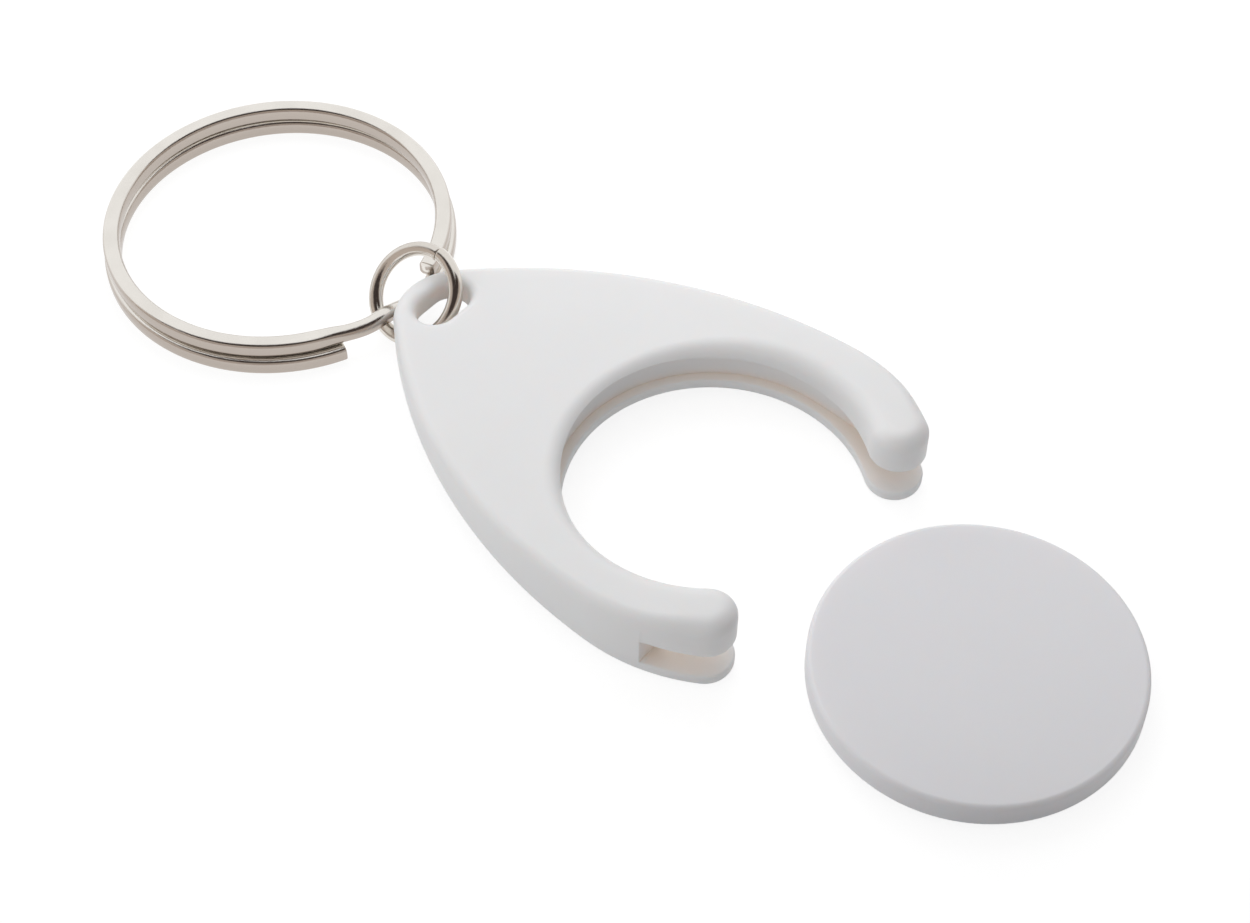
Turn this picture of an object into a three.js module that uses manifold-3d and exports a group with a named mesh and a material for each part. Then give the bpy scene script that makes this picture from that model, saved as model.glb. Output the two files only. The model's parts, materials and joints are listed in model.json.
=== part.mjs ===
// Trolley coin keyring: a moulded clip that grips a round token, with a jump ring and a split ring at its nose.
// Millimetres, +Z up. The origin is the middle of the bounding box, on the table that the keyring lies on.

import * as THREE from 'three';
import { mergeVertices } from 'three/addons/utils/BufferGeometryUtils.js';
import Module from 'manifold-3d';

const wasm = await Module();
wasm.setup();

const degree = Math.PI / 180;

// Token
const coinDiameter = 23.25;
const coinThickness = 2.2;
const coinEdgeRound = 0.4;
// How far the token's rear edge lies past the ends of the clip's arms
const coinPulledOut = 1.41;

// Clip, seen from above
const coinSidePlay = 0.175;
const gripDepth = 0.77;
const armWidth = 4.3;
const armHeading = 56.51 * degree;
const tipRadius = 2.113;
const mouthHalfAngle = 53.56 * degree;
const neckLength = 14.516;
const noseRadius = 4.516;
const sideRadius = 41.93;

// Clip, seen from the side
const noseThickness = 1.8;
const tipThickness = 6.9;
const footRound = 0.5;
const crownRound = 0.9;
const clipTilt = 2.7 * degree;
const floorPlate = 1.1;
const coinFacePlay = 0.1;
// The arms' outer walls are open beside the slot over this last length of the arms
const windowLength = 4.92;

// Hole in the nose: longer across the clip, so that the ring can lean in it
const holeWidth = 2.96;
const holeLength = 4.5;
const holeInset = 3.42;
const holeFootRound = 0.4;
const holeCrownRound = 0.7;

// Jump ring
const jumpRadius = 3.46;
const jumpWire = 1.068;
// The wire lies off the hole's middle, towards the token and to one side
const jumpAhead = 0.68;
const jumpAside = -0.1;
const jumpTableGap = 0.04;
const jumpSeamGap = 0.1;
const jumpSeam = 88 * degree;

// Split ring
const splitWireWidth = 1.3;
const splitWireHeight = 1.35;
const splitCoilGap = 0.43;
const splitSquareness = 3.4;
// Radius of the lower coil at the middle of the wire; the upper coil has sprung a little smaller and off its middle
const lowerCoilRadius = 12.994;
const upperCoilSmaller = 0.16;
const upperCoilBack = 0.241;
const upperCoilAside = 0.106;
// The outer edge of the lower coil reaches this far under the end of the nose
const splitTuck = 0.653;
const splitAside = -1.27;
const upperEndAngle = 17.8 * degree;
const lowerEndAngle = -23 * degree;
// Between its coils the wire is drawn thinner and round, and bows in from the nose
const strandDiameter = 1.18;
const strandBow = 0.15;
// Shares of the crossing, from the upper coil to the lower one
const strandFallStartShare = 0.19;
const strandFallEndShare = 0.96;
const strandThinShare = 0.6;

// Facets
const noseSteps = 8;
const sideSteps = 6;
const armSteps = 10;
const tipSteps = 8;
const cutoutSteps = 18;
const holeSteps = 12;
const roundSteps = 4;
const coinSteps = 72;
const jumpSteps = 44;
const coilSteps = 36;
const strandSteps = 14;
const wireSides = 12;

// Overrun of every cut past the faces that it goes through
const overrun = 1;

// Worked out from the sizes
const coinRadius = coinDiameter / 2;
const pocketRadius = coinRadius + coinSidePlay;
const cutoutRadius = pocketRadius - gripDepth;
const armRadius = cutoutRadius + armWidth;
const noseReach = cutoutRadius + neckLength;
const noseEnd = -(noseReach + noseRadius);
const tipCentre = polar(cutoutRadius + tipRadius, mouthHalfAngle);
const tipEnd = tipCentre.x + tipRadius;
const slotHeight = coinThickness + 2 * coinFacePlay;
const coinReach = tipEnd + coinPulledOut + coinRadius;
const windowStart = tipEnd - windowLength;
const holeX = noseEnd + holeInset;
const tipLift = (tipEnd - footRound) * Math.sin(clipTilt) + footRound * (1 - Math.cos(clipTilt));

function polar(radius, angle) {
  return new THREE.Vector2(radius * Math.cos(angle), radius * Math.sin(angle));
}

// Thickness of the clip at x: its top is one flat slope from the nose to the arms' ends
function clipThickness(x) {
  return THREE.MathUtils.mapLinear(x, noseEnd, tipEnd, noseThickness, tipThickness);
}

// A point of the clip's middle plane, x and z, seen from the table
function clipPoint(x, z) {
  const point = new THREE.Vector3(x, 0, z).applyAxisAngle(new THREE.Vector3(0, 1, 0), clipTilt);
  return point.setZ(point.z + tipLift);
}

// Solids and geometry

function toSolid(geometry) {
  const bare = geometry.clone();
  bare.deleteAttribute('normal');
  bare.deleteAttribute('uv');
  const merged = mergeVertices(bare);
  return new wasm.Manifold(new wasm.Mesh({
    numProp: 3,
    vertProperties: new Float32Array(merged.attributes.position.array),
    triVerts: new Uint32Array(merged.index.array),
  }));
}

function toGeometry(solid) {
  const { vertProperties, triVerts } = solid.getMesh();
  return indexedGeometry(Array.from(vertProperties), Array.from(triVerts));
}

function indexedGeometry(positions, triangles) {
  const geometry = new THREE.BufferGeometry();
  geometry.setAttribute('position', new THREE.Float32BufferAttribute(positions, 3));
  geometry.setIndex(triangles);
  geometry.computeVertexNormals();
  return geometry;
}

function named(name, geometry, material) {
  const mesh = new THREE.Mesh(geometry, material);
  mesh.name = name;
  return mesh;
}

// Points of an arc, without its last one, each with the direction that faces out of the material
function arcPoints(centre, radius, from, to, steps, facing) {
  const points = [];
  for (let i = 0; i < steps; i += 1) {
    const out = polar(1, THREE.MathUtils.lerp(from, to, i / steps));
    points.push({ at: out.clone().multiplyScalar(radius).add(centre), out: out.multiplyScalar(facing) });
  }
  return points;
}

// Walls round closed loops, with rounded rims, between a flat foot and a sloping top.
// The first loop is the outline, anticlockwise, and the others are holes, clockwise.
function roundedPlate(loops, thickness) {
  const positions = [];
  const triangles = [];
  const starts = [];
  const layers = 2 * (roundSteps + 1);
  for (const { points, foot, crown } of loops) {
    starts.push(positions.length / 3);
    for (let layer = 0; layer < layers; layer += 1) {
      for (const { at, out } of points) {
        const upper = layer > roundSteps;
        const turn = ((layer % (roundSteps + 1)) / roundSteps) * (Math.PI / 2);
        const inset = upper ? crown * (1 - Math.cos(turn)) : foot * (1 - Math.sin(turn));
        const spot = at.clone().addScaledVector(out, -inset);
        const rise = upper ? thickness(spot.x) - crown * (1 - Math.sin(turn)) : foot * (1 - Math.cos(turn));
        positions.push(spot.x, spot.y, rise);
      }
    }
    const start = starts.at(-1);
    for (let layer = 0; layer < layers - 1; layer += 1) {
      for (let i = 0; i < points.length; i += 1) {
        const a = start + layer * points.length + i;
        const b = start + layer * points.length + ((i + 1) % points.length);
        triangles.push(a, b, b + points.length, a, b + points.length, a + points.length);
      }
    }
  }
  for (const layer of [0, layers - 1]) {
    const rims = loops.map(({ points }, n) => points.map((_, i) => starts[n] + layer * points.length + i));
    const flat = rims.map((rim) => rim.map((v) => new THREE.Vector2(positions[3 * v], positions[3 * v + 1])));
    const corners = rims.flat();
    for (const [a, b, c] of THREE.ShapeUtils.triangulateShape(flat[0], flat.slice(1))) {
      const face = [corners[a], corners[b], corners[c]];
      triangles.push(...(layer === 0 ? face.reverse() : face));
    }
  }
  return indexedGeometry(positions, triangles);
}

// A wire through a list of frames, each with its centre, its width and height directions and half sizes.
// A squareness of 2 gives an ellipse, and more gives flatter sides.
function wireGeometry(frames) {
  const positions = [];
  const triangles = [];
  for (const { centre, across, up, halfWidth, halfHeight, squareness } of frames) {
    for (let side = 0; side < wireSides; side += 1) {
      const turn = (side / wireSides) * 2 * Math.PI;
      const wide = Math.sign(Math.cos(turn)) * Math.abs(Math.cos(turn)) ** (2 / squareness);
      const high = Math.sign(Math.sin(turn)) * Math.abs(Math.sin(turn)) ** (2 / squareness);
      const point = centre.clone().addScaledVector(across, halfWidth * wide).addScaledVector(up, halfHeight * high);
      positions.push(...point.toArray());
    }
  }
  for (let ring = 0; ring < frames.length - 1; ring += 1) {
    for (let side = 0; side < wireSides; side += 1) {
      const a = ring * wireSides + side;
      const b = ring * wireSides + ((side + 1) % wireSides);
      triangles.push(a, b + wireSides, b, a, a + wireSides, b + wireSides);
    }
  }
  const last = (frames.length - 1) * wireSides;
  for (let side = 1; side < wireSides - 1; side += 1) {
    triangles.push(0, side, side + 1, last, last + side + 1, last + side);
  }
  return indexedGeometry(positions, triangles);
}

// Clip

function clipOutline() {
  const noseCentre = new THREE.Vector2(-noseReach, 0);
  const armCentre = tipCentre.clone().sub(polar(armRadius - tipRadius, armHeading));
  const between = armCentre.clone().sub(noseCentre);
  const span = between.length();
  const toNose = sideRadius - noseRadius;
  const toArm = sideRadius - armRadius;
  const along = (toNose ** 2 - toArm ** 2 + span ** 2) / (2 * span);
  const across = Math.sqrt(toNose ** 2 - along ** 2);
  const ahead = between.normalize();
  const sideCentre = noseCentre.clone().addScaledVector(ahead, along);
  sideCentre.addScaledVector(new THREE.Vector2(ahead.y, -ahead.x), across);
  const noseTurn = noseCentre.clone().sub(sideCentre).angle();
  const armTurn = armCentre.clone().sub(sideCentre).angle();
  const half = [
    ...arcPoints(noseCentre, noseRadius, Math.PI, noseTurn, noseSteps, 1),
    ...arcPoints(sideCentre, sideRadius, noseTurn, armTurn, sideSteps, 1),
    ...arcPoints(armCentre, armRadius, armTurn, armHeading, armSteps, 1),
    ...arcPoints(tipCentre, tipRadius, armHeading, mouthHalfAngle - Math.PI, tipSteps, 1),
    ...arcPoints(new THREE.Vector2(), cutoutRadius, mouthHalfAngle, Math.PI, cutoutSteps, -1),
  ];
  const rear = { at: new THREE.Vector2(-cutoutRadius, 0), out: new THREE.Vector2(1, 0) };
  const mirrored = half.slice(1).map(({ at, out }) => ({
    at: new THREE.Vector2(at.x, -at.y),
    out: new THREE.Vector2(out.x, -out.y),
  }));
  return [...mirrored, rear, ...half.reverse()];
}

function slotCutter() {
  const outside = armRadius + overrun;
  const beyond = tipEnd + overrun;
  const shape = new THREE.Shape();
  shape.moveTo(0, pocketRadius);
  shape.absarc(0, 0, pocketRadius, Math.PI / 2, 3 * Math.PI / 2, false);
  shape.lineTo(windowStart, -pocketRadius);
  shape.lineTo(windowStart, -outside);
  shape.lineTo(beyond, -outside);
  shape.lineTo(beyond, outside);
  shape.lineTo(windowStart, outside);
  shape.lineTo(windowStart, pocketRadius);
  const geometry = new THREE.ExtrudeGeometry(shape, {
    depth: slotHeight,
    bevelEnabled: false,
    curveSegments: 2 * cutoutSteps,
  });
  return geometry.translate(0, 0, floorPlate);
}

// Two round ends with straight sides between them, clockwise
function holeOutline() {
  const ends = [
    { y: (holeLength - holeWidth) / 2, from: Math.PI, to: 0 },
    { y: (holeWidth - holeLength) / 2, from: 0, to: -Math.PI },
  ];
  return ends.flatMap(({ y, from, to }) => {
    const centre = new THREE.Vector2(holeX, y);
    const out = polar(1, to);
    const last = { at: out.clone().multiplyScalar(holeWidth / 2).add(centre), out: out.negate() };
    return [...arcPoints(centre, holeWidth / 2, from, to, holeSteps, -1), last];
  });
}

function holderGeometry() {
  const loops = [
    { points: clipOutline(), foot: footRound, crown: crownRound },
    { points: holeOutline(), foot: holeFootRound, crown: holeCrownRound },
  ];
  const plate = roundedPlate(loops, clipThickness);
  return toGeometry(toSolid(plate).subtract(toSolid(slotCutter())));
}

// Token

function coinGeometry() {
  const half = coinThickness / 2;
  const profile = [new THREE.Vector2(0, -half)];
  for (const [level, from] of [[-1, -Math.PI / 2], [1, 0]]) {
    for (let i = 0; i <= roundSteps; i += 1) {
      const rim = polar(coinEdgeRound, from + (i / roundSteps) * (Math.PI / 2));
      profile.push(rim.add(new THREE.Vector2(coinRadius - coinEdgeRound, level * (half - coinEdgeRound))));
    }
  }
  profile.push(new THREE.Vector2(0, half));
  const bare = new THREE.LatheGeometry(profile, coinSteps).rotateX(Math.PI / 2);
  return toGeometry(toSolid(bare));
}

// Jump ring: it goes through the hole and leans over until its lower side lies on the table

const jumpHold = clipPoint(holeX + jumpAhead, clipThickness(holeX + jumpAhead) / 2);
const jumpLean = Math.asin((jumpHold.z - jumpWire / 2 - jumpTableGap) / jumpRadius);
const jumpCentre = new THREE.Vector3(jumpHold.x - jumpRadius, jumpAside, jumpHold.z);

function jumpRingGeometry() {
  const frames = [];
  const opening = jumpSeamGap / jumpRadius;
  for (let i = 0; i <= jumpSteps; i += 1) {
    const turn = jumpSeam + opening / 2 + (i / jumpSteps) * (2 * Math.PI - opening);
    const out = new THREE.Vector3(Math.cos(turn), Math.sin(turn), 0);
    frames.push({
      centre: out.clone().multiplyScalar(jumpRadius),
      across: out,
      up: new THREE.Vector3(0, 0, 1),
      halfWidth: jumpWire / 2,
      halfHeight: jumpWire / 2,
      squareness: 2,
    });
  }
  return wireGeometry(frames);
}

// Split ring: one wire from its upper end round to the crossing strand, and on round to its lower end

const lowerCoilCentre = new THREE.Vector3(0, 0, splitWireHeight / 2);
const upperCoilCentre = new THREE.Vector3(-upperCoilBack, upperCoilAside, 1.5 * splitWireHeight + splitCoilGap);
const splitCentre = new THREE.Vector3(
  clipPoint(noseEnd, noseThickness / 2).x + splitTuck - lowerCoilRadius - splitWireWidth / 2,
  splitAside,
  0,
);

function splitRingFrames() {
  const fullTurn = 2 * Math.PI;
  const strandAngle = upperEndAngle - lowerEndAngle;
  const coilAngle = fullTurn - strandAngle;
  const frames = [];
  const addFrame = (angle, fall, share) => {
    const out = new THREE.Vector3(Math.cos(angle), Math.sin(angle), 0);
    const drawn = Math.sin(Math.PI * share) ** 2;
    const thin = THREE.MathUtils.smoothstep(Math.sin(Math.PI * share), 0, strandThinShare);
    const radius = lowerCoilRadius - upperCoilSmaller * (1 - fall) - strandBow * drawn;
    frames.push({
      centre: upperCoilCentre.clone().lerp(lowerCoilCentre, fall).addScaledVector(out, radius),
      across: out,
      up: new THREE.Vector3(0, 0, 1),
      halfWidth: THREE.MathUtils.lerp(splitWireWidth, strandDiameter, thin) / 2,
      halfHeight: THREE.MathUtils.lerp(splitWireHeight, strandDiameter, thin) / 2,
      squareness: THREE.MathUtils.lerp(splitSquareness, 2, thin),
    });
  };
  for (let i = 0; i < coilSteps; i += 1) {
    addFrame(upperEndAngle + coilAngle * (i / coilSteps), 0, 0);
  }
  for (let i = 0; i < strandSteps; i += 1) {
    const share = i / strandSteps;
    const fall = THREE.MathUtils.smoothstep(share, strandFallStartShare, strandFallEndShare);
    addFrame(upperEndAngle + coilAngle + strandAngle * share, fall, share);
  }
  for (let i = 0; i <= coilSteps; i += 1) {
    addFrame(upperEndAngle + fullTurn + coilAngle * (i / coilSteps), 1, 0);
  }
  return frames;
}

// Least distance between points of the wire's skin that lie half a turn or more apart along it
function leastCoilGap(geometry) {
  const position = geometry.attributes.position;
  const apart = (coilSteps / 2) * wireSides;
  const a = new THREE.Vector3();
  const b = new THREE.Vector3();
  let least = Infinity;
  for (let i = 0; i + apart < position.count; i += 1) {
    a.fromBufferAttribute(position, i);
    for (let j = i + apart; j < position.count; j += 1) {
      least = Math.min(least, a.distanceTo(b.fromBufferAttribute(position, j)));
    }
  }
  return least;
}

// Assembly

const plastic = { color: 0xe9e9e7, roughness: 0.42, metalness: 0 };
const nickel = { color: 0xcfcac2, roughness: 0.18, metalness: 1 };

// The clip and the token share one tilted frame, in which the token slides along X
const clip = new THREE.Group();
clip.rotation.y = clipTilt;
clip.position.z = tipLift;
clip.add(named('coin_holder', holderGeometry(), new THREE.MeshStandardMaterial(plastic)));
const coin = named('trolley_coin', coinGeometry(), new THREE.MeshStandardMaterial(plastic));
coin.position.set(coinReach, 0, floorPlate + coinFacePlay + coinThickness / 2);
clip.add(coin);

const jumpRing = named('jump_ring', jumpRingGeometry(), new THREE.MeshStandardMaterial(nickel));
jumpRing.rotation.x = jumpLean;
jumpRing.position.copy(jumpCentre);

const splitRing = named('split_ring', wireGeometry(splitRingFrames()), new THREE.MeshStandardMaterial(nickel));
splitRing.position.copy(splitCentre);
console.log(`least gap of the split ring to itself: ${leastCoilGap(splitRing.geometry).toFixed(3)} mm`);

const keyring = new THREE.Group();
keyring.add(clip, jumpRing, splitRing);
keyring.updateMatrixWorld(true);
const box = new THREE.Box3().setFromObject(keyring, true);
keyring.position.set(-(box.min.x + box.max.x) / 2, -(box.min.y + box.max.y) / 2, -box.min.z);

export default keyring;
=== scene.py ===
"""Trolley coin keyring: a moulded clip with its token pulled out, a jump ring and a split ring."""

import json
import math

import bmesh
import bpy
from mathutils import Matrix, Vector
from mathutils.geometry import tessellate_polygon

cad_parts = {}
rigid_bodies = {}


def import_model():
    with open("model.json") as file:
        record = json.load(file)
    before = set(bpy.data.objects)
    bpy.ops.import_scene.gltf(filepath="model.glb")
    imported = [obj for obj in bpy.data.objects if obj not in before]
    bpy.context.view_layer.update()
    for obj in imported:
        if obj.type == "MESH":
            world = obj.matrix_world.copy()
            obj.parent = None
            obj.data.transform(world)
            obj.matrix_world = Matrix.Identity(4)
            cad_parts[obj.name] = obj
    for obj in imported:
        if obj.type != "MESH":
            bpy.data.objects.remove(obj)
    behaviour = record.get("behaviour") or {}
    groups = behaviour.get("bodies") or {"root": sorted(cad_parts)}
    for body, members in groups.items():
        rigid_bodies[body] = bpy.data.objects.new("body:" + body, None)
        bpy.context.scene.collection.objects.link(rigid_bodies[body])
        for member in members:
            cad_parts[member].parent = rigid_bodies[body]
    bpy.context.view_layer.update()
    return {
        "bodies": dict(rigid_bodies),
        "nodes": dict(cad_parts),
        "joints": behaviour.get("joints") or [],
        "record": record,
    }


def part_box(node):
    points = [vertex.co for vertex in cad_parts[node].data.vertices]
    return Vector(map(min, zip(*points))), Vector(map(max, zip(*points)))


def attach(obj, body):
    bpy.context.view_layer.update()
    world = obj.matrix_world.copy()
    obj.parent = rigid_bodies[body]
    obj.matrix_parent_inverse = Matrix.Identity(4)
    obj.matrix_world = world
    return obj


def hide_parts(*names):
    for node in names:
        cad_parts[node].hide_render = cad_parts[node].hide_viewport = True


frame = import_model()

# Units: sizes are written in millimetres and turned into metres by MM
MM = 0.001
DEGREE = math.pi / 180

# Token
COIN_RADIUS = 11.625 * MM
COIN_THICKNESS = 2.2 * MM
COIN_EDGE_ROUND = 0.4 * MM
COIN_PULLED_OUT = 1.41 * MM

# Clip, seen from above
COIN_SIDE_PLAY = 0.175 * MM
GRIP_DEPTH = 0.77 * MM
ARM_WIDTH = 4.3 * MM
ARM_HEADING = 56.51 * DEGREE
TIP_RADIUS = 2.113 * MM
MOUTH_HALF_ANGLE = 53.56 * DEGREE
NECK_LENGTH = 14.516 * MM
NOSE_RADIUS = 4.516 * MM
SIDE_RADIUS = 41.93 * MM

# Clip, seen from the side
NOSE_THICKNESS = 1.8 * MM
TIP_THICKNESS = 6.9 * MM
FOOT_ROUND = 0.5 * MM
OUTER_CROWN_ROUND = 0.9 * MM
TIP_CROWN_ROUND = 1.4 * MM
BAY_CROWN_ROUND = 1.3 * MM
LIP_ROUND = 0.16 * MM
CLIP_TILT = 2.7 * DEGREE
FLOOR_PLATE = 1.1 * MM
COIN_FACE_PLAY = 0.1 * MM
WINDOW_LENGTH = 4.92 * MM
HOLE_WIDTH = 2.96 * MM
HOLE_LENGTH = 4.5 * MM
HOLE_INSET = 3.42 * MM
HOLE_FOOT_ROUND = 0.3 * MM
HOLE_CROWN_ROUND = 0.8 * MM

# Jump ring
JUMP_RADIUS = 3.46 * MM
JUMP_WIRE = 1.068 * MM
JUMP_AHEAD = 0.68 * MM
JUMP_ASIDE = -0.1 * MM
JUMP_TABLE_GAP = 0.04 * MM
JUMP_SEAM = 88 * DEGREE
JUMP_SEAM_GAP = 0.03 * MM

# Split ring
SPLIT_WIRE_WIDTH = 1.3 * MM
SPLIT_WIRE_HEIGHT = 1.35 * MM
SPLIT_COIL_GAP = 0.05 * MM
LOWER_COIL_RADIUS = 12.994 * MM
UPPER_COIL_RADIUS = 12.834 * MM
UPPER_COIL_SHIFT = Vector((-0.241, 0.106, 0)) * MM
SPLIT_TUCK = 0.67 * MM
SPLIT_ASIDE = -1.235 * MM
UPPER_END = 17.8 * DEGREE
LOWER_END = -23 * DEGREE

# The strand between the coils, by its places round the ring: it falls and is drawn thin and round
STRAND_DIAMETER = 1.28 * MM
STRAND_FALL = (-10 * DEGREE, 12 * DEGREE)
STRAND_THINS = (-34 * DEGREE, -20 * DEGREE)
STRAND_THICKENS = (9 * DEGREE, 17.8 * DEGREE)
STRAND_BOW = 0.3 * MM
STRAND_BULGE = 0.6 * MM
STRAND_BULGE_MIDDLE = -10 * DEGREE
STRAND_BULGE_REACH = 18 * DEGREE

# Camera, placed from the middle of the clip's bay
CAMERA_TARGET = Vector((-8.084, -0.553, 0)) * MM
CAMERA_AZIMUTH = 42.175 * DEGREE
CAMERA_ELEVATION = 50.066 * DEGREE
CAMERA_ROLL = -1.459 * DEGREE
CAMERA_DISTANCE = 204.198 * MM
CAMERA_LENS = 80.843
CAMERA_NEAR = 10 * MM
CAMERA_FAR = 10.0

# Worked out from the sizes
POCKET_RADIUS = COIN_RADIUS + COIN_SIDE_PLAY
BAY_RADIUS = POCKET_RADIUS - GRIP_DEPTH
ARM_RADIUS = BAY_RADIUS + ARM_WIDTH
NOSE_REACH = BAY_RADIUS + NECK_LENGTH
NOSE_END = -(NOSE_REACH + NOSE_RADIUS)
SLOT_HEIGHT = COIN_THICKNESS + 2 * COIN_FACE_PLAY
SLOT_TOP = FLOOR_PLATE + SLOT_HEIGHT


def polar(radius, angle):
    return Vector((radius * math.cos(angle), radius * math.sin(angle)))


TIP_CENTRE = polar(BAY_RADIUS + TIP_RADIUS, MOUTH_HALF_ANGLE)
TIP_END = TIP_CENTRE.x + TIP_RADIUS
COIN_REACH = TIP_END + COIN_PULLED_OUT + COIN_RADIUS
WINDOW_START = TIP_END - WINDOW_LENGTH
HOLE_X = NOSE_END + HOLE_INSET
TIP_LIFT = (TIP_END - FOOT_ROUND) * math.sin(CLIP_TILT) + FOOT_ROUND * (1 - math.cos(CLIP_TILT))

# The bay's middle in the row frame, from the token's own box
COIN_MIDDLE = (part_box("trolley_coin")[0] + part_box("trolley_coin")[1]) / 2
COIN_LEVEL = FLOOR_PLATE + COIN_FACE_PLAY + COIN_THICKNESS / 2
TILT = Matrix.Rotation(CLIP_TILT, 3, "Y")
BAY = COIN_MIDDLE - TILT @ Vector((COIN_REACH, 0, COIN_LEVEL))
BAY.z = 0


def clip_place(point):
    """A point of the clip's own frame, in the row frame."""
    return BAY + TILT @ Vector(point) + Vector((0, 0, TIP_LIFT))


def clip_thickness(x):
    share = (x - NOSE_END) / (TIP_END - NOSE_END)
    return NOSE_THICKNESS + share * (TIP_THICKNESS - NOSE_THICKNESS)


def mix(a, b, share):
    return a + (b - a) * share


def smooth_share(share, low=0.0, high=1.0):
    t = min(1.0, max(0.0, (share - low) / (high - low)))
    return t * t * (3 - 2 * t)


# Camera

def make_camera():
    a, e, r = CAMERA_AZIMUTH, CAMERA_ELEVATION, CAMERA_ROLL
    back = Vector((math.sin(a) * math.cos(e), -math.cos(a) * math.cos(e), math.sin(e)))
    level = Vector((math.cos(a), math.sin(a), 0))
    upright = back.cross(level)
    right = math.cos(r) * level + math.sin(r) * upright
    up = math.cos(r) * upright - math.sin(r) * level
    data = bpy.data.cameras.new("camera")
    data.lens = CAMERA_LENS
    data.clip_start = CAMERA_NEAR
    data.clip_end = CAMERA_FAR
    camera = bpy.data.objects.new("camera", data)
    place = BAY + CAMERA_TARGET + back * CAMERA_DISTANCE
    camera.matrix_world = Matrix((right, up, back)).transposed().to_4x4()
    camera.matrix_world.translation = place
    bpy.context.scene.collection.objects.link(camera)
    bpy.context.scene.camera = camera


make_camera()


# Meshes

MERGE_DISTANCE = 0.002 * MM
SHARP_ANGLE = 40 * DEGREE


class Skin:
    """Vertices and faces of one piece, with the places of its texture where it has one."""

    def __init__(self):
        self.points = []
        self.faces = []
        self.marks = []

    def ring(self, points):
        start = len(self.points)
        self.points += [Vector(p) for p in points]
        return list(range(start, len(self.points)))

    def bridge(self, low, high, keep=None):
        """Quads between two closed rings; keep(i) says which of them are made."""
        count = len(low)
        for i in range(count):
            j = (i + 1) % count
            if keep is None or keep(i):
                self.faces.append((low[i], low[j], high[j], high[i]))

    def strip(self, low, high):
        for i in range(len(low) - 1):
            self.faces.append((low[i], low[i + 1], high[i + 1], high[i]))

    def flat(self, loops, upward):
        """Triangles across a flat outline and its holes."""
        order = [v for loop in loops for v in loop]
        flattened = [[Vector((self.points[v].x, self.points[v].y, 0)) for v in loop] for loop in loops]
        for a, b, c in tessellate_polygon(flattened):
            pa, pb, pc = (self.points[order[n]] for n in (a, b, c))
            rises = (pb - pa).cross(pc - pa).z > 0
            face = (a, b, c) if rises == upward else (c, b, a)
            self.faces.append(tuple(order[n] for n in face))

    def fan(self, ring, reverse):
        middle = sum((self.points[v] for v in ring), Vector()) / len(ring)
        centre = len(self.points)
        self.points.append(middle)
        count = len(ring)
        for i in range(count):
            pair = (ring[i], ring[(i + 1) % count])
            self.faces.append((centre, *pair[::-1]) if reverse else (centre, *pair))


def make_piece(name, skin, material, body, node, place=None):
    """A piece from its skin; place turns a point of the skin's own frame into one of the row frame."""
    mesh = bpy.data.meshes.new(name)
    points = [place(p) if place else p for p in skin.points]
    mesh.from_pydata([tuple(p) for p in points], [], skin.faces)
    if skin.marks:
        layer = mesh.uv_layers.new(name="along")
        for face, marks in zip(mesh.polygons, skin.marks):
            for corner, mark in zip(face.loop_indices, marks):
                layer.data[corner].uv = mark
    tidy_mesh(mesh)
    mesh.shade_smooth()
    mesh.set_sharp_from_angle(angle=SHARP_ANGLE)
    piece = bpy.data.objects.new(name, mesh)
    mesh.materials.append(material)
    bpy.context.scene.collection.objects.link(piece)
    weighted = piece.modifiers.new("weighted normals", "WEIGHTED_NORMAL")
    weighted.keep_sharp = True
    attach(piece, body)
    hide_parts(node)


def tidy_mesh(mesh):
    """Joins points that meet, drops faces without an area, and turns all faces out."""
    work = bmesh.new()
    work.from_mesh(mesh)
    bmesh.ops.remove_doubles(work, verts=work.verts, dist=MERGE_DISTANCE)
    bmesh.ops.dissolve_degenerate(work, edges=work.edges, dist=MERGE_DISTANCE)
    bmesh.ops.recalc_face_normals(work, faces=work.faces)
    work.to_mesh(mesh)
    work.free()


# Materials

# A noise's scale is in waves per metre, and a range is where in a value a change starts and ends
CLOUD_RANGE = (0.3, 0.7)

PLASTIC_IOR = 1.46
PLASTIC_CLOUD_SCALE = 90
PLASTIC_ROUGHNESS_SPREAD = 0.04
PLASTIC_SKIN_SCALE = 2600
PLASTIC_SKIN_STRENGTH = 0.12
PLASTIC_SKIN_HEIGHT = 0.02 * MM
PLASTIC_WAVE_SCALE = 160
PLASTIC_WAVE_STRENGTH = 0.10
PLASTIC_WAVE_HEIGHT = 0.15 * MM
# Painted shade: where the clip is occluded, in its slot and hole, the colour turns to this warm tint,
# standing in for shade and for light that comes through the thin plastic
PLASTIC_PAINTED_WARM_SHADE = (0.98, 0.86, 0.77)
PAINTED_SHADE_REACH = 5 * MM
PAINTED_SHADE_RANGE = (0.2, 0.85)
SUBSURFACE_WEIGHT = 0.5
SUBSURFACE_RADII = (1.0, 0.8, 0.7)
SUBSURFACE_DEPTH = 1.2 * MM

NICKEL_CLOUD_SCALE = 420
NICKEL_CLOUD_RANGE = (0.3, 0.65)
# Painted shade: the wire's flanks are darkened towards this colour, standing in for their dim reflections
NICKEL_FLANK_PAINTED_SHADE = (0.48, 0.425, 0.38)
NICKEL_FLANK_SHADE_RANGE = (0.6, 0.85)
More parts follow.
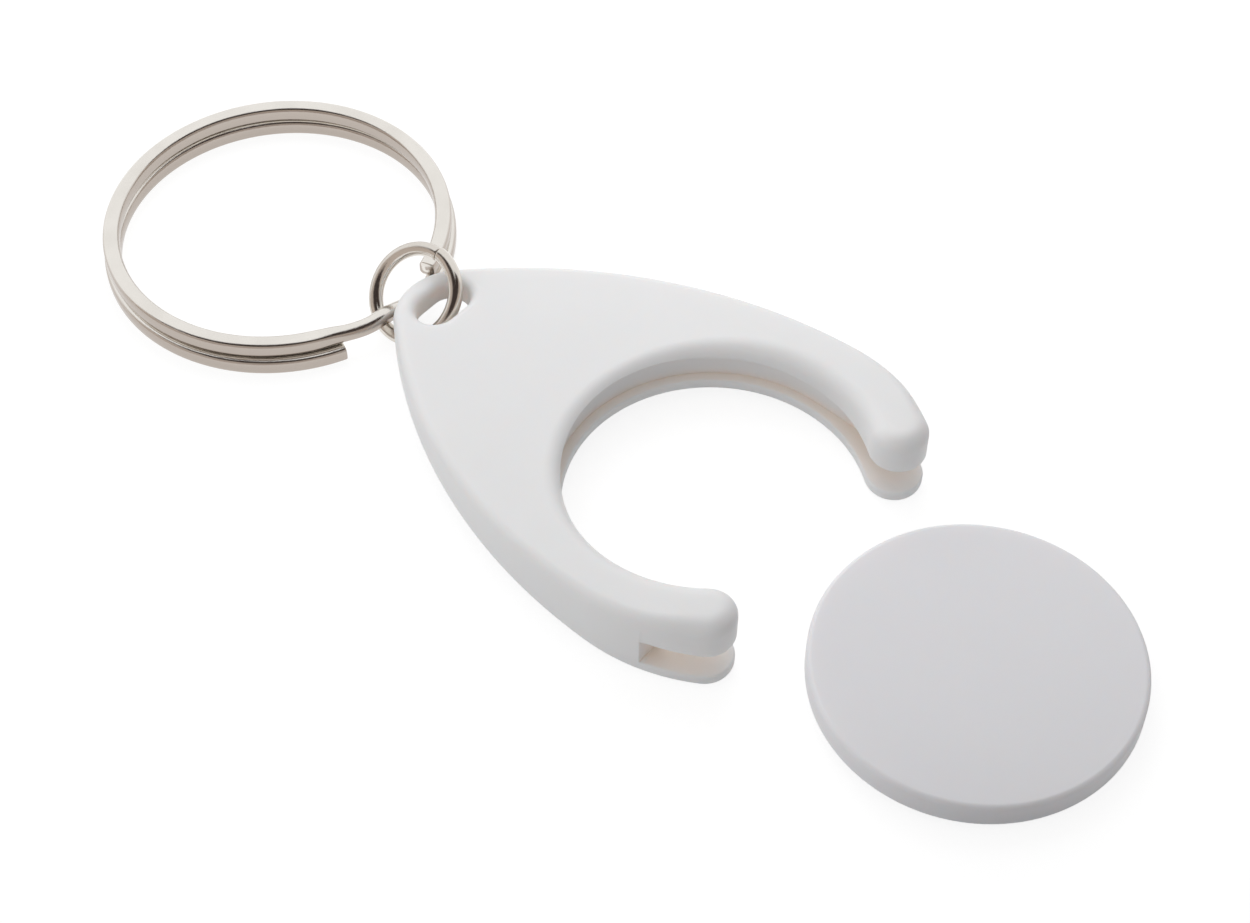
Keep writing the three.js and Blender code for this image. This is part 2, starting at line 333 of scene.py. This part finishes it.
# The drawing marks lie on the wire's own texture: millimetres along the wire, and shares of its girth
NICKEL_MARK_STRETCH = (0.12, 54.0, 1.0)
NICKEL_MARK_SCALE = 3
NICKEL_MARK_STRENGTH = 0.16
NICKEL_MARK_HEIGHT = 0.03 * MM
NICKEL_MARK_SMOOTHER = 0.05
NICKEL_MARK_ROUGHER = 0.08
NICKEL_PIT_SCALE = 3200
NICKEL_PIT_STRENGTH = 0.06
NICKEL_PIT_HEIGHT = 0.02 * MM


def new_material(name):
    material = bpy.data.materials.new(name)
    material.use_nodes = True
    return material, material.node_tree.nodes, material.node_tree.links


def noise(nodes, links, vector, scale, detail, roughness=0.5):
    texture = nodes.new("ShaderNodeTexNoise")
    texture.inputs["Scale"].default_value = scale
    texture.inputs["Detail"].default_value = detail
    texture.inputs["Roughness"].default_value = roughness
    links.new(vector, texture.inputs["Vector"])
    return texture.outputs["Fac"]


def remap(nodes, links, value, low, high, to_low, to_high):
    step = nodes.new("ShaderNodeMapRange")
    step.inputs["From Min"].default_value = low
    step.inputs["From Max"].default_value = high
    step.inputs["To Min"].default_value = to_low
    step.inputs["To Max"].default_value = to_high
    links.new(value, step.inputs["Value"])
    return step.outputs["Result"]


def bump(nodes, links, height, strength, distance, below=None):
    node = nodes.new("ShaderNodeBump")
    node.inputs["Strength"].default_value = strength
    node.inputs["Distance"].default_value = distance
    links.new(height, node.inputs["Height"])
    if below is not None:
        links.new(below, node.inputs["Normal"])
    return node.outputs["Normal"]


def math_node(nodes, links, operation, value, other=None):
    """One sum on a node's output; the other value is a number or another node's output."""
    node = nodes.new("ShaderNodeMath")
    node.operation = operation
    links.new(value, node.inputs[0])
    if isinstance(other, bpy.types.NodeSocket):
        links.new(other, node.inputs[1])
    elif other is not None:
        node.inputs[1].default_value = other
    return node.outputs[0]


def colour_mix(nodes, links, share, low, high):
    """A mix of two colours, each one a colour's numbers or another node's output."""
    node = nodes.new("ShaderNodeMix")
    node.data_type = "RGBA"
    links.new(share, node.inputs["Factor"])
    for socket, colour in ((node.inputs["A"], low), (node.inputs["B"], high)):
        if isinstance(colour, tuple):
            socket.default_value = (*colour, 1)
        else:
            links.new(colour, socket)
    return node.outputs["Result"]


def plastic(name, pale, shade, roughness):
    """Moulded white plastic: faint clouding, a fine satin skin, and painted shade, a warm tint where its slot
    and hole are occluded.
    """
    material, nodes, links = new_material(name)
    shader = nodes["Principled BSDF"]
    place = nodes.new("ShaderNodeTexCoord").outputs["Object"]
    clouds = noise(nodes, links, place, PLASTIC_CLOUD_SCALE, detail=4)
    skin = noise(nodes, links, place, PLASTIC_SKIN_SCALE, detail=2)
    waves = noise(nodes, links, place, PLASTIC_WAVE_SCALE, detail=1)
    outside = colour_mix(nodes, links, remap(nodes, links, clouds, *CLOUD_RANGE, 0, 1), shade, pale)
    # Painted shade: the more occluded the surface is, the more its colour turns to the warm tint
    shade_occlusion = nodes.new("ShaderNodeAmbientOcclusion")
    shade_occlusion.only_local = True
    shade_occlusion.inputs["Distance"].default_value = PAINTED_SHADE_REACH
    painted_shade_share = remap(nodes, links, shade_occlusion.outputs["AO"], *PAINTED_SHADE_RANGE, 1, 0)
    links.new(colour_mix(nodes, links, painted_shade_share, outside, PLASTIC_PAINTED_WARM_SHADE), shader.inputs["Base Color"])
    smoothest = roughness - PLASTIC_ROUGHNESS_SPREAD
    roughest = roughness + PLASTIC_ROUGHNESS_SPREAD
    dullness = remap(nodes, links, clouds, *CLOUD_RANGE, smoothest, roughest)
    links.new(dullness, shader.inputs["Roughness"])
    fine = bump(nodes, links, skin, PLASTIC_SKIN_STRENGTH, PLASTIC_SKIN_HEIGHT)
    uneven = bump(nodes, links, waves, PLASTIC_WAVE_STRENGTH, PLASTIC_WAVE_HEIGHT, below=fine)
    links.new(uneven, shader.inputs["Normal"])
    shader.inputs["IOR"].default_value = PLASTIC_IOR
    shader.inputs["Subsurface Weight"].default_value = SUBSURFACE_WEIGHT
    shader.inputs["Subsurface Radius"].default_value = SUBSURFACE_RADII
    shader.inputs["Subsurface Scale"].default_value = SUBSURFACE_DEPTH
    return material


def nickel(name, bright, cloudy, roughness, flank_shade_share):
    """Bright nickel plate with fine drawing marks, pits and clouding, and painted shade that darkens the
    wire's flanks.
    """
    material, nodes, links = new_material(name)
    shader = nodes["Principled BSDF"]
    along = nodes.new("ShaderNodeUVMap")
    along.uv_map = "along"
    stretch = nodes.new("ShaderNodeMapping")
    stretch.inputs["Scale"].default_value = NICKEL_MARK_STRETCH
    links.new(along.outputs["UV"], stretch.inputs["Vector"])
    marks = noise(nodes, links, stretch.outputs["Vector"], NICKEL_MARK_SCALE, detail=5, roughness=0.6)
    place = nodes.new("ShaderNodeTexCoord").outputs["Object"]
    clouds = noise(nodes, links, place, NICKEL_CLOUD_SCALE, detail=4)
    pits = noise(nodes, links, place, NICKEL_PIT_SCALE, detail=2)
    plate = colour_mix(nodes, links, remap(nodes, links, clouds, *NICKEL_CLOUD_RANGE, 0, 1), cloudy, bright)
    # Painted shade: the flanks, found from the share of the way round the wire, are darkened towards the
    # flank colour
    girth = nodes.new("ShaderNodeSeparateXYZ")
    links.new(along.outputs["UV"], girth.inputs[0])
    turn = math_node(nodes, links, "MULTIPLY", girth.outputs["Y"], 2 * math.pi)
    side = math_node(nodes, links, "ABSOLUTE", math_node(nodes, links, "COSINE", turn))
    flank_shade = remap(nodes, links, side, *NICKEL_FLANK_SHADE_RANGE, 0, flank_shade_share)
    links.new(colour_mix(nodes, links, flank_shade, plate, NICKEL_FLANK_PAINTED_SHADE), shader.inputs["Base Color"])
    smoothest = roughness - NICKEL_MARK_SMOOTHER
    roughest = roughness + NICKEL_MARK_ROUGHER
    dullness = remap(nodes, links, marks, *CLOUD_RANGE, smoothest, roughest)
    links.new(dullness, shader.inputs["Roughness"])
    drawn = bump(nodes, links, marks, NICKEL_MARK_STRENGTH, NICKEL_MARK_HEIGHT)
    pitted = bump(nodes, links, pits, NICKEL_PIT_STRENGTH, NICKEL_PIT_HEIGHT, below=drawn)
    links.new(pitted, shader.inputs["Normal"])
    shader.inputs["Metallic"].default_value = 1.0
    return material


holder_plastic = plastic("holder plastic", (0.83, 0.83, 0.835), (0.81, 0.81, 0.815), 0.42)
coin_plastic = plastic("coin plastic", (0.83, 0.825, 0.85), (0.815, 0.81, 0.835), 0.48)
# The last number is how much painted shade darkens each wire's flanks
jump_nickel = nickel("jump ring nickel", (0.72, 0.68, 0.63), (0.66, 0.62, 0.57), 0.12, 0.0)
split_nickel = nickel("split ring nickel", (0.81, 0.78, 0.735), (0.76, 0.73, 0.685), 0.15, 1.0)


# Clip

NOSE_STEPS = 30
SIDE_STEPS = 60
ARM_STEPS = 36
TIP_STEPS = 30
BAY_STEPS = 84
HOLE_STEPS = 36
FOOT_STEPS = 5
LIP_STEPS = 3
CROWN_STEPS = 9
# The lip starts from nothing where the window starts, and is whole after this length
LIP_RAMP = 0.6 * MM
# The crown's start is found in this many rounds, because the plate's thickness changes with it
WALL_START_ROUNDS = 4


def arc(centre, radius, start, end, steps, facing, **facts):
    """Points of an arc, without its last one, each with the direction out of the material."""
    points = []
    for i in range(steps):
        out = polar(1, mix(start, end, i / steps))
        points.append({"at": centre + out * radius, "out": out * facing, **facts})
    return points


def mirrored(p):
    """An outline point on the clip's other side."""
    return {**p, "at": Vector((p["at"].x, -p["at"].y)), "out": Vector((p["out"].x, -p["out"].y))}


def clip_outline():
    """The clip's outline, anticlockwise from the nose, with what its rims and its slot need at each point."""
    nose = Vector((-NOSE_REACH, 0))
    arm = TIP_CENTRE - polar(ARM_RADIUS - TIP_RADIUS, ARM_HEADING)
    span = (arm - nose).length
    to_nose, to_arm = SIDE_RADIUS - NOSE_RADIUS, SIDE_RADIUS - ARM_RADIUS
    along = (to_nose ** 2 - to_arm ** 2 + span ** 2) / (2 * span)
    ahead = (arm - nose).normalized()
    side = nose + ahead * along + Vector((ahead.y, -ahead.x)) * math.sqrt(to_nose ** 2 - along ** 2)
    nose_turn = math.atan2(nose.y - side.y, nose.x - side.x)
    arm_turn = math.atan2(arm.y - side.y, arm.x - side.x)
    window_turn = math.acos((WINDOW_START - arm.x) / ARM_RADIUS)
    mouth_turn = MOUTH_HALF_ANGLE - math.pi
    shut = {"open": False, "crown": OUTER_CROWN_ROUND}
    window = {"open": True, "stretch": "window"}
    tip = {"open": True, "stretch": "tip"}
    bay = {"open": True, "crown": BAY_CROWN_ROUND}
    half = [
        *arc(nose, NOSE_RADIUS, math.pi, nose_turn, NOSE_STEPS, 1, **shut),
        *arc(side, SIDE_RADIUS, nose_turn, arm_turn, SIDE_STEPS, 1, **shut),
        *arc(arm, ARM_RADIUS, arm_turn, window_turn, ARM_STEPS, 1, **shut),
        *arc(arm, ARM_RADIUS, window_turn, ARM_HEADING, ARM_STEPS // 2, 1, **window),
        *arc(TIP_CENTRE, TIP_RADIUS, ARM_HEADING, mouth_turn, TIP_STEPS, 1, **tip),
        *arc(Vector((0, 0)), BAY_RADIUS, MOUTH_HALF_ANGLE, math.pi, BAY_STEPS, -1, **bay),
    ]
    for stretch, first, last in (
        ("window", OUTER_CROWN_ROUND, TIP_CROWN_ROUND),
        ("tip", TIP_CROWN_ROUND, BAY_CROWN_ROUND),
    ):
        members = [p for p in half if p.get("stretch") == stretch]
        for count, p in enumerate(members):
            p["crown"] = mix(first, last, smooth_share(count / len(members)))
    opening = next(p["at"] for p in half if p["open"])
    for p in half:
        p["lip"] = LIP_ROUND * smooth_share((p["at"] - opening).length / LIP_RAMP) if p["open"] else 0.0
    rear = {**half[-1], "at": Vector((-BAY_RADIUS, 0)), "out": Vector((1, 0))}
    return [*[mirrored(p) for p in half[1:]], rear, *reversed(half)]


def hole_outline():
    """Two round ends with straight sides between them, clockwise."""
    reach = (HOLE_LENGTH - HOLE_WIDTH) / 2
    facts = {"crown": HOLE_CROWN_ROUND, "rise": 0.0}
    points = []
    for y, start in ((reach, math.pi), (-reach, 0)):
        centre = Vector((HOLE_X, y))
        end = start - math.pi
        points += arc(centre, HOLE_WIDTH / 2, start, end, HOLE_STEPS, -1, **facts)
        points.append({"at": centre + polar(HOLE_WIDTH / 2, end), "out": -polar(1, end), **facts})
    return points


def pocket_path():
    """The slot's inner wall from the window below the axis, round the bay's rear, to the window above it."""
    rear = [mix(-math.pi / 2, -3 * math.pi / 2, i / BAY_STEPS) for i in range(BAY_STEPS + 1)]
    return [
        Vector((WINDOW_START, -POCKET_RADIUS)),
        *[polar(POCKET_RADIUS, turn) for turn in rear],
        Vector((WINDOW_START, POCKET_RADIUS)),
    ]


def turns(steps):
    """A quarter turn in equal steps."""
    return [step / steps * math.pi / 2 for step in range(steps + 1)]


def wall_start(p):
    """The turn at which the crown's arc starts, over nought where the plate there is thinner than the arc."""
    if not p["open"]:
        return 0.0
    turn = 0.0
    for _ in range(WALL_START_ROUNDS):
        spot = p["at"].x - p["out"].x * p["crown"] * (1 - math.cos(turn))
        room = clip_thickness(spot) - SLOT_TOP - p["lip"]
        turn = math.asin(min(1.0, max(0.0, 1 - room / p["crown"])))
    return turn


def holder_skin():
    skin = Skin()
    outline = clip_outline()
    count = len(outline)
    for p in outline:
        p["rise"] = wall_start(p)
        wall_top = clip_thickness(p["at"].x) - p["crown"]
        p["floor"] = FLOOR_PLATE if p["open"] else min(FLOOR_PLATE, wall_top)
        p["ceiling"] = SLOT_TOP if p["open"] else min(SLOT_TOP, wall_top)

    def level(points, inset, height):
        places = []
        for p in points:
            spot = p["at"] - p["out"] * inset(p)
            places.append((spot.x, spot.y, height(p, spot)))
        return skin.ring(places)

    def stack(rings):
        for low, high in zip(rings, rings[1:]):
            skin.bridge(low, high)
        return rings[0], rings[-1]

    def rims(points, foot):
        return [
            level(points, lambda p: foot * (1 - math.sin(turn)), lambda p, s: foot * (1 - math.cos(turn)))
            for turn in turns(FOOT_STEPS)
        ]

    def crown_turn(p, share):
        return mix(p["rise"], math.pi / 2, share)

    def crowns(points):
        return [
            level(
                points,
                lambda p: p["crown"] * (1 - math.cos(crown_turn(p, share))),
                lambda p, s: clip_thickness(s.x) - p["crown"] * (1 - math.sin(crown_turn(p, share))),
            )
            for share in [step / CROWN_STEPS for step in range(CROWN_STEPS + 1)]
        ]

    lower_lips = [
        level(
            outline,
            lambda p: p["lip"] * (1 - math.cos(turn)),
            lambda p, s: p["floor"] - p["lip"] * (1 - math.sin(turn)),
        )
        for turn in turns(LIP_STEPS)
    ]
    upper_lips = [
        level(
            outline,
            lambda p: p["crown"] * (1 - math.cos(p["rise"])) + p["lip"] * (1 - math.sin(turn)),
            lambda p, s: p["ceiling"] + p["lip"] * (1 - math.cos(turn)),
        )
        for turn in turns(LIP_STEPS)
    ]
    underside, floor = stack(rims(outline, FOOT_ROUND) + lower_lips)
    ceiling, topside = stack(upper_lips + crowns(outline))
    is_wall = [not (p["open"] and outline[(i + 1) % count]["open"]) for i, p in enumerate(outline)]
    skin.bridge(floor, ceiling, keep=lambda i: is_wall[i])

    # The slot's floor and ceiling, and its wall behind the token
    opened = [i for i, p in enumerate(outline) if p["open"]]
    path = pocket_path()
    sides = []
    for rim, height in ((floor, FLOOR_PLATE), (ceiling, SLOT_TOP)):
        wall = skin.ring([(p.x, p.y, height) for p in path])
        skin.flat([[rim[i] for i in opened] + wall[::-1]], upward=height == FLOOR_PLATE)
        sides.append([rim[opened[0]], *wall, rim[opened[-1]]])
    skin.strip(*sides)

    # The hole in the nose, and the flat faces
    hole = hole_outline()
    hole_foot, hole_crown = stack(rims(hole, HOLE_FOOT_ROUND) + crowns(hole))
    skin.flat([underside, hole_foot], upward=False)
    skin.flat([topside, hole_crown], upward=True)
    return skin


make_piece("clip", holder_skin(), holder_plastic, "holder", "coin_holder", place=clip_place)


# Token

COIN_STEPS = 200
COIN_ROUND_STEPS = 6


def coin_skin():
    skin = Skin()
    half = COIN_THICKNESS / 2
    profile = []
    for side, first in ((-1, -math.pi / 2), (1, 0)):
        for step in range(COIN_ROUND_STEPS + 1):
            rim = polar(COIN_EDGE_ROUND, first + step / COIN_ROUND_STEPS * math.pi / 2)
            profile.append((COIN_RADIUS - COIN_EDGE_ROUND + rim.x, side * (half - COIN_EDGE_ROUND) + rim.y))
    rings = []
    for radius, height in profile:
        spots = [polar(radius, 2 * math.pi * i / COIN_STEPS) for i in range(COIN_STEPS)]
        rings.append(skin.ring([(p.x, p.y, height) for p in spots]))
    for low, high in zip(rings, rings[1:]):
        skin.bridge(low, high)
    skin.fan(rings[0], reverse=True)
    skin.fan(rings[-1], reverse=False)
    return skin


def coin_place(point):
    return COIN_MIDDLE + TILT @ point


make_piece("token", coin_skin(), coin_plastic, "coin", "trolley_coin", place=coin_place)


# Wires

END_ROUND = 0.08 * MM
END_STEPS = 4
# The squareness of a section: 2 is an ellipse, and more gives flatter sides
ELLIPSE = 2


def wire_skin(frames, sides):
    """A wire through its frames, with rounded edges on its cut ends.

    Its texture places are millimetres along the wire and shares of the way round it.
    """
    skin = Skin()

    def reach(frame, part):
        return math.copysign(abs(part) ** (ELLIPSE / frame["squareness"]), part)

    def section(frame, centre, inset):
        points = []
        for side in range(sides):
            turn = 2 * math.pi * side / sides
            wide = frame["across"] * (frame["half_width"] - inset) * reach(frame, math.cos(turn))
            high = frame["up"] * (frame["half_height"] - inset) * reach(frame, math.sin(turn))
            points.append(centre + wide + high)
        return centre, skin.ring(points)

    def cut_end(frame, inward):
        sections = []
        for turn in turns(END_STEPS):
            centre = frame["centre"] + inward * END_ROUND * (1 - math.cos(turn))
            sections.append(section(frame, centre, END_ROUND * (1 - math.sin(turn))))
        return sections

    into = (frames[1]["centre"] - frames[0]["centre"]).normalized()
    back = (frames[-2]["centre"] - frames[-1]["centre"]).normalized()
    middle = [section(frame, frame["centre"], 0) for frame in frames[1:-1]]
    rings = [*cut_end(frames[0], into), *middle, *reversed(cut_end(frames[-1], back))]
    girth = [side / sides for side in range(sides + 1)]
    run = 0.0
    for (here, low), (there, high) in zip(rings, rings[1:]):
        on = run + (there - here).length / MM
        skin.bridge(low, high)
        skin.marks += [
            ((run, girth[i]), (run, girth[i + 1]), (on, girth[i + 1]), (on, girth[i]))
            for i in range(sides)
        ]
        run = on
    for (_, ring), reverse in ((rings[0], True), (rings[-1], False)):
        skin.fan(ring, reverse)
        skin.marks += [((0, 0), (0, girth[i]), (0, girth[i + 1])) for i in range(sides)]
    return skin


# Jump ring

JUMP_STEPS = 130
JUMP_SIDES = 28
JUMP_SQUARENESS = 2.25
JUMP_OFFSET = 0.07 * MM
JUMP_OFFSET_REACH = 32 * DEGREE

JUMP_HOLD = clip_place((HOLE_X + JUMP_AHEAD, 0, clip_thickness(HOLE_X + JUMP_AHEAD) / 2))
JUMP_LEAN = math.asin((JUMP_HOLD.z - JUMP_WIRE / 2 - JUMP_TABLE_GAP) / JUMP_RADIUS)
JUMP_CENTRE = JUMP_HOLD + Vector((-JUMP_RADIUS, JUMP_ASIDE, 0))


def jump_ring_skin():
    """One bent wire: its cut ends meet in a butt joint, a little out of line."""
    frames = []
    opening = JUMP_SEAM_GAP / JUMP_RADIUS
    lean = Matrix.Rotation(JUMP_LEAN, 3, "X")
    for i in range(JUMP_STEPS + 1):
        turned = i / JUMP_STEPS * (2 * math.pi - opening)
        spare = 2 * math.pi - opening - turned
        out = Vector((*polar(1, JUMP_SEAM + opening / 2 + turned), 0))
        radius = JUMP_RADIUS + JUMP_OFFSET * smooth_share(1 - spare / JUMP_OFFSET_REACH)
        frames.append({
            "centre": JUMP_CENTRE + lean @ out * radius,
            "across": lean @ out,
            "up": lean @ Vector((0, 0, 1)),
            "half_width": JUMP_WIRE / 2,
            "half_height": JUMP_WIRE / 2,
            "squareness": JUMP_SQUARENESS,
        })
    return wire_skin(frames, JUMP_SIDES)


make_piece("jump_wire", jump_ring_skin(), jump_nickel, "jump_ring", "jump_ring")


# Split ring

COIL_STEP = 1 * DEGREE
SPLIT_SIDES = 36
SPLIT_SQUARENESS = 3.4

LOWER_COIL_CENTRE = Vector((
    clip_place((NOSE_END, 0, NOSE_THICKNESS / 2)).x + SPLIT_TUCK - LOWER_COIL_RADIUS - SPLIT_WIRE_WIDTH / 2,
    BAY.y + SPLIT_ASIDE,
    SPLIT_WIRE_HEIGHT / 2,
))
UPPER_COIL_CENTRE = LOWER_COIL_CENTRE + UPPER_COIL_SHIFT + Vector((0, 0, SPLIT_WIRE_HEIGHT + SPLIT_COIL_GAP))


def split_ring_skin():
    """One wire: the upper coil, the strand that crosses down through the jump ring, and the lower coil."""
    first = UPPER_END - 2 * math.pi
    last = LOWER_END + 2 * math.pi
    steps = round((last - first) / COIL_STEP)
    frames = []
    for i in range(steps + 1):
        turn = mix(first, last, i / steps)
        out = Vector((*polar(1, turn), 0))
        thin = smooth_share(turn, *STRAND_THINS) - smooth_share(turn, *STRAND_THICKENS)
        across = min(1.0, max(0.0, (turn - LOWER_END) / (UPPER_END - LOWER_END)))
        aside = min(1.0, abs(turn - STRAND_BULGE_MIDDLE) / STRAND_BULGE_REACH)
        bow = STRAND_BOW * math.sin(math.pi * across) ** 2
        bulge = STRAND_BULGE * math.cos(math.pi / 2 * aside) ** 2
        fall = smooth_share(turn, *STRAND_FALL)
        radius = mix(UPPER_COIL_RADIUS, LOWER_COIL_RADIUS, fall) - (bow - bulge)
        frames.append({
            "centre": UPPER_COIL_CENTRE.lerp(LOWER_COIL_CENTRE, fall) + out * radius,
            "across": out,
            "up": Vector((0, 0, 1)),
            "half_width": mix(SPLIT_WIRE_WIDTH, STRAND_DIAMETER, thin) / 2,
            "half_height": mix(SPLIT_WIRE_HEIGHT, STRAND_DIAMETER, thin) / 2,
            "squareness": mix(SPLIT_SQUARENESS, ELLIPSE, thin),
        })
    return wire_skin(frames, SPLIT_SIDES)


make_piece("key_ring", split_ring_skin(), split_nickel, "split_ring", "split_ring")


# Floor, cards, flag, lamp and world; lengths without a unit here are metres

FLOOR_SIZE = 4.0
FLOOR_DROP = 0.02 * MM
# Where it is seen, the floor glows and shows its shadow; where it is not, it only throws light back
FLOOR_GLOW = 0.84
FLOOR_SEEN = 0.26
FLOOR_SHADE = 0.78
# The strength of the world where it is seen, and of its light from its bright and its dim side
WORLD_SEEN = 1.0
WORLD_BRIGHT = 1.0
WORLD_DIM = 0.28
WORLD_TURN = 200 * DEGREE
KEY_SIZE = 0.10
KEY_PLACE = Vector((-0.062, 0.052, 0.085))
KEY_POWER = 0.05
CARD_DISTANCE = 0.42
CARD_MIDDLE = 48 * DEGREE
CARD_SPREAD = 105 * DEGREE
CARD_STEPS = 32
DARK_CARD_RISES = (38 * DEGREE, 82 * DEGREE)
DARK_CARD_COLOUR = (0.055, 0.041, 0.038)
GREY_CARD_RISES = (1 * DEGREE, 38 * DEGREE)
GREY_CARD_COLOUR = (0.60, 0.53, 0.48)
FLAG_DISTANCE = 24 * MM
FLAG_WIDTH = 38 * MM
FLAG_LOW = 2.5 * MM
FLAG_HIGH = 14 * MM
FLAG_SHADE = 0.02


def grey(level):
    return (level, level, level, 1)


def shown_ray(nodes, links):
    """One for rays of the camera, of reflections and of transmission, and zero for gathered light."""
    path = nodes.new("ShaderNodeLightPath")
    answer = path.outputs["Is Camera Ray"]
    for other in ("Is Glossy Ray", "Is Transmission Ray"):
        answer = math_node(nodes, links, "MAXIMUM", answer, path.outputs[other])
    return answer


def floor_material():
    """White where it is seen, with the object's shadow on it, and pale where it only throws light back."""
    material, nodes, links = new_material("floor")
    nodes.remove(nodes["Principled BSDF"])
    glow = nodes.new("ShaderNodeEmission")
    glow.inputs["Strength"].default_value = FLOOR_GLOW
    pale = nodes.new("ShaderNodeBsdfDiffuse")
    pale.inputs["Color"].default_value = grey(FLOOR_SEEN)
    both = nodes.new("ShaderNodeAddShader")
    links.new(glow.outputs[0], both.inputs[0])
    links.new(pale.outputs[0], both.inputs[1])
    plain = nodes.new("ShaderNodeBsdfDiffuse")
    plain.inputs["Color"].default_value = grey(FLOOR_SHADE)
    choice = nodes.new("ShaderNodeMixShader")
    links.new(shown_ray(nodes, links), choice.inputs["Fac"])
    links.new(plain.outputs[0], choice.inputs[1])
    links.new(both.outputs[0], choice.inputs[2])
    links.new(choice.outputs[0], nodes["Material Output"].inputs["Surface"])
    return material


def make_stage(name, points, faces, material):
    mesh = bpy.data.meshes.new(name)
    mesh.from_pydata([tuple(p) for p in points], [], faces)
    mesh.materials.append(material)
    piece = bpy.data.objects.new(name, mesh)
    bpy.context.scene.collection.objects.link(piece)
    return piece


def make_floor():
    half = FLOOR_SIZE / 2
    corners = [(half * x, half * y, -FLOOR_DROP) for x, y in ((-1, -1), (1, -1), (1, 1), (-1, 1))]
    make_stage("floor", corners, [(0, 1, 2, 3)], floor_material())


def make_card(name, rises, colour):
    """A curved card on the camera's side, seen only in the plated wires' reflections."""
    points = []
    for i in range(CARD_STEPS + 1):
        turn = CARD_MIDDLE + mix(-CARD_SPREAD, CARD_SPREAD, i / CARD_STEPS)
        level = Vector((math.sin(turn), -math.cos(turn), 0))
        for rise in rises:
            points.append(BAY + CARD_DISTANCE * (level * math.cos(rise) + Vector((0, 0, math.sin(rise)))))
    faces = [(2 * i, 2 * i + 2, 2 * i + 3, 2 * i + 1) for i in range(CARD_STEPS)]
    material, nodes, links = new_material(name)
    nodes.remove(nodes["Principled BSDF"])
    glow = nodes.new("ShaderNodeEmission")
    glow.inputs["Color"].default_value = (*colour, 1)
    links.new(glow.outputs[0], nodes["Material Output"].inputs["Surface"])
    card = make_stage(name, points, faces, material)
    card.visible_camera = False
    card.visible_diffuse = False
    card.visible_shadow = False


def make_flag():
    """A board before the token, on the camera's side, that only takes light away."""
    toward = Vector((math.sin(CAMERA_AZIMUTH), -math.cos(CAMERA_AZIMUTH), 0))
    aside = Vector((toward.y, -toward.x, 0))
    middle = COIN_MIDDLE + toward * FLAG_DISTANCE
    corners = [
        middle + aside * side * FLAG_WIDTH / 2 + Vector((0, 0, height))
        for side, height in ((-1, FLAG_LOW), (1, FLAG_LOW), (1, FLAG_HIGH), (-1, FLAG_HIGH))
    ]
    material, nodes, _ = new_material("flag")
    nodes["Principled BSDF"].inputs["Base Color"].default_value = grey(FLAG_SHADE)
    flag = make_stage("flag", corners, [(0, 1, 2, 3)], material)
    flag.visible_camera = False
    flag.visible_glossy = False


def make_key_lamp():
    """A square lamp that faces the bay and isn't reflected."""
    data = bpy.data.lights.new("key", "AREA")
    data.size = KEY_SIZE
    data.energy = KEY_POWER
    lamp = bpy.data.objects.new("key", data)
    lamp.location = BAY + KEY_PLACE
    lamp.rotation_euler = (-KEY_PLACE).to_track_quat("-Z", "Y").to_euler()
    lamp.visible_glossy = False
    bpy.context.scene.collection.objects.link(lamp)


def make_world():
    """White where it is seen; its light is brighter from the rings' side than from the token's side."""
    world = bpy.data.worlds.new("world")
    world.use_nodes = True
    nodes, links = world.node_tree.nodes, world.node_tree.links
    background = nodes["Background"]
    background.inputs["Color"].default_value = grey(1)
    heading = nodes.new("ShaderNodeVectorMath")
    heading.operation = "DOT_PRODUCT"
    heading.inputs[1].default_value = (math.cos(WORLD_TURN), math.sin(WORLD_TURN), 0)
    links.new(nodes.new("ShaderNodeTexCoord").outputs["Generated"], heading.inputs[0])
    level = remap(nodes, links, heading.outputs["Value"], -1, 1, WORLD_DIM, WORLD_BRIGHT)
    choice = nodes.new("ShaderNodeMix")
    choice.data_type = "FLOAT"
    links.new(shown_ray(nodes, links), choice.inputs["Factor"])
    links.new(level, choice.inputs["A"])
    choice.inputs["B"].default_value = WORLD_SEEN
    links.new(choice.outputs["Result"], background.inputs["Strength"])
    bpy.context.scene.world = world


make_floor()
make_card("dark_card", DARK_CARD_RISES, DARK_CARD_COLOUR)
make_card("grey_card", GREY_CARD_RISES, GREY_CARD_COLOUR)
make_flag()
make_key_lamp()
make_world()
bpy.context.scene.view_settings.view_transform = "Standard"
